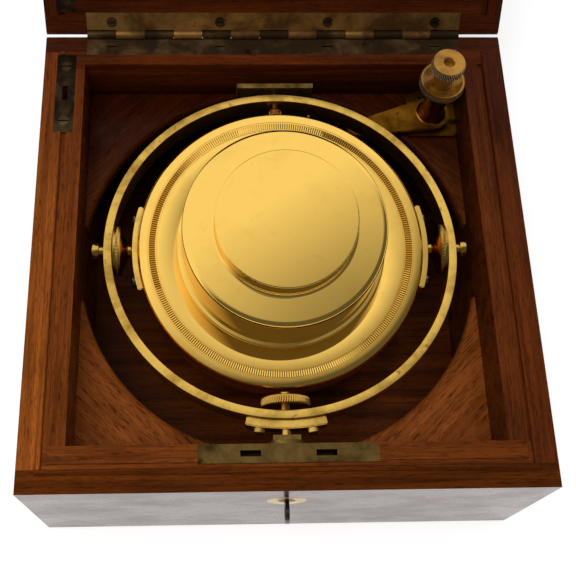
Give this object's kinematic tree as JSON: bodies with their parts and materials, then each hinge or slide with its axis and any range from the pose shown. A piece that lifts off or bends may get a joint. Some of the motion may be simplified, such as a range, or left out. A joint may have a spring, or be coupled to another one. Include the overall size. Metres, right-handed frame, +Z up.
{
  "type": "marine chronometer",
  "caption": "Marine chronometer in a hinged wooden box: brass bowl upside down in gimbals, with gimbal lock, box lock and key, and a fusee movement under its dust cap",
  "frame": {"origin": "middle of the box's underside", "axes": "+X to the viewer's right, +Y from the lock side to the hinge side, +Z up"},
  "size_m": [0.19, 0.3671, 0.2316],
  "materials": {
    "mahogany": "french-polished mahogany, dark red-brown",
    "lining_wood": "dark polished mahogany lining",
    "aged_brass": "old brass, dull brown-green tarnish",
    "gimbal_brass": "satin lacquered brass",
    "bowl_brass": "polished and lacquered brass",
    "movement_brass": "gilt brass",
    "key_steel": "plain steel",
    "blued_steel": "blued steel",
    "dial_silver": "matt silvered dial",
    "dial_glass": "clear flat glass"
  },
  "bodies": {
    "base": {"base_front_board": "mahogany", "base_back_board": "mahogany", "base_side_boards": "mahogany", "base_floor": "mahogany", "base_lining": "lining_wood", "corner_boards": "lining_wood", "corner_posts": "lining_wood", "hinge_base_leaf": "aged_brass", "hinge_pin": "aged_brass", "slot_plate": "aged_brass", "lock_case": "aged_brass", "escutcheon": "aged_brass", "front_bracket": "aged_brass", "back_bracket": "aged_brass", "lock_pillar": "aged_brass", "base_screws": "aged_brass"},
    "lid": {"lid_front_board": "mahogany", "lid_back_board": "mahogany", "lid_side_boards": "mahogany", "lid_panel": "mahogany", "lid_lining": "lining_wood", "hinge_lid_leaf": "aged_brass", "tongue_plate": "aged_brass", "link_plate": "aged_brass", "lid_screws": "aged_brass"},
    "key": {"box_key": "key_steel"},
    "bolt": {"lock_bolt": "aged_brass"},
    "arm": {"lock_arm": "aged_brass"},
    "clamp": {"clamp_nut": "gimbal_brass"},
    "knob": {"lock_knob": "gimbal_brass"},
    "ring": {"gimbal_ring": "gimbal_brass", "ring_pad": "gimbal_brass", "ring_pad_screws": "gimbal_brass", "bowl_pivot_screws": "gimbal_brass", "ring_pivot_screws": "gimbal_brass"},
    "bowl": {"bowl_drum": "bowl_brass", "bowl_pads": "gimbal_brass", "bowl_screws": "gimbal_brass", "bowl_back_plate": "bowl_brass", "bezel": "bowl_brass", "glass": "dial_glass", "dial": "dial_silver", "pillar_plate": "movement_brass", "plate_pillars": "movement_brass", "top_plate": "movement_brass", "fusee_chain": "key_steel", "balance_cock": "movement_brass"},
    "cap": {"dust_cap": "bowl_brass"},
    "barrel_arbor": {"barrel": "movement_brass"},
    "fusee_arbor": {"fusee": "movement_brass"},
    "centre_arbor": {"centre_wheel": "movement_brass", "minute_hand": "blued_steel"},
    "hour_pipe": {"hour_hand": "blued_steel"},
    "third_arbor": {"third_wheel": "movement_brass"},
    "fourth_arbor": {"fourth_wheel": "movement_brass", "second_hand": "blued_steel"},
    "escape_arbor": {"escape_wheel": "movement_brass"},
    "balance": {"balance_wheel": "movement_brass", "balance_spring": "blued_steel"}
  },
  "joints": [
    {"name": "lid_hinge", "type": "hinge", "parent": "base", "child": "lid", "pos_m": [0, 0.0949, 0.07615], "axis": [1, 0, 0], "range_deg": [0, 125]},
    {"name": "key_turn", "type": "hinge", "parent": "base", "child": "key", "pos_m": [0, -0.095, 0.0566], "axis": [0, 1, 0], "range_deg": [0, 90]},
    {"name": "bolt_slide", "type": "slide", "parent": "base", "child": "bolt", "axis": [1, 0, 0], "range_m": [0, 0.004]},
    {"name": "arm_swing", "type": "hinge", "parent": "base", "child": "arm", "pos_m": [0.0673, 0.0675, 0.06], "axis": [0, 0, 1], "range_deg": [-22, 0]},
    {"name": "clamp_nut_turn", "type": "hinge", "parent": "base", "child": "clamp", "pos_m": [0.0673, 0.0675, 0.06], "axis": [0, 0, 1], "continuous": true},
    {"name": "knob_turn", "type": "hinge", "parent": "base", "child": "knob", "pos_m": [0.0673, 0.0675, 0.06], "axis": [0, 0, 1], "continuous": true},
    {"name": "gimbal_tilt", "type": "hinge", "parent": "base", "child": "ring", "pos_m": [0, 0, 0.0672], "axis": [0, 1, 0], "range_deg": [-35, 0]},
    {"name": "bowl_turn", "type": "hinge", "parent": "ring", "child": "bowl", "pos_m": [0, 0, 0.0672], "axis": [1, 0, 0], "range_deg": [-8.3, 171.7]},
    {"name": "cap_turn", "type": "hinge", "parent": "bowl", "child": "cap", "pos_m": [0, 0, 0.0672], "axis": [0, -0.1444, 0.9895], "range_deg": [0, 25]},
    {"name": "fourth_turn", "type": "hinge", "parent": "bowl", "child": "fourth_arbor", "pos_m": [0, 0.02672, 0.0711], "axis": [0, -0.1444, 0.9895], "continuous": true},
    {"name": "third_turn", "type": "hinge", "parent": "bowl", "child": "third_arbor", "pos_m": [-0.0092, 0.01415, 0.06926], "axis": [0, -0.1444, 0.9895], "continuous": true},
    {"name": "centre_turn", "type": "hinge", "parent": "bowl", "child": "centre_arbor", "pos_m": [0, 0, 0.0672], "axis": [0, -0.1444, 0.9895], "continuous": true},
    {"name": "hour_turn", "type": "hinge", "parent": "bowl", "child": "hour_pipe", "pos_m": [0, 0, 0.0672], "axis": [0, -0.1444, 0.9895], "continuous": true},
    {"name": "fusee_turn", "type": "hinge", "parent": "bowl", "child": "fusee_arbor", "pos_m": [0.017, -0.01187, 0.06547], "axis": [0, -0.1444, 0.9895], "continuous": true},
    {"name": "barrel_turn", "type": "hinge", "parent": "bowl", "child": "barrel_arbor", "pos_m": [-0.017, -0.01187, 0.06547], "axis": [0, -0.1444, 0.9895], "continuous": true},
    {"name": "escape_turn", "type": "hinge", "parent": "bowl", "child": "escape_arbor", "pos_m": [0.0113, 0.02375, 0.07067], "axis": [0, -0.1444, 0.9895], "continuous": true},
    {"name": "balance_swing", "type": "hinge", "parent": "bowl", "child": "balance", "pos_m": [0.0035, 0.01662, 0.06963], "axis": [0, -0.1444, 0.9895], "range_deg": [-220, 220], "stiffness_Nm_per_rad": 0.00009}
  ],
  "couplings": [
    {"joint": "key_turn", "follows": "bolt_slide", "rad_per_m": 392.7},
    {"joint": "third_turn", "follows": "fourth_turn", "ratio": -0.125},
    {"joint": "centre_turn", "follows": "fourth_turn", "ratio": 0.016667},
    {"joint": "hour_turn", "follows": "fourth_turn", "ratio": 0.0013889},
    {"joint": "fusee_turn", "follows": "fourth_turn", "ratio": -0.0025926},
    {"joint": "barrel_turn", "follows": "fourth_turn", "ratio": -0.0018148},
    {"joint": "escape_turn", "follows": "fourth_turn", "ratio": -8}
  ]
}
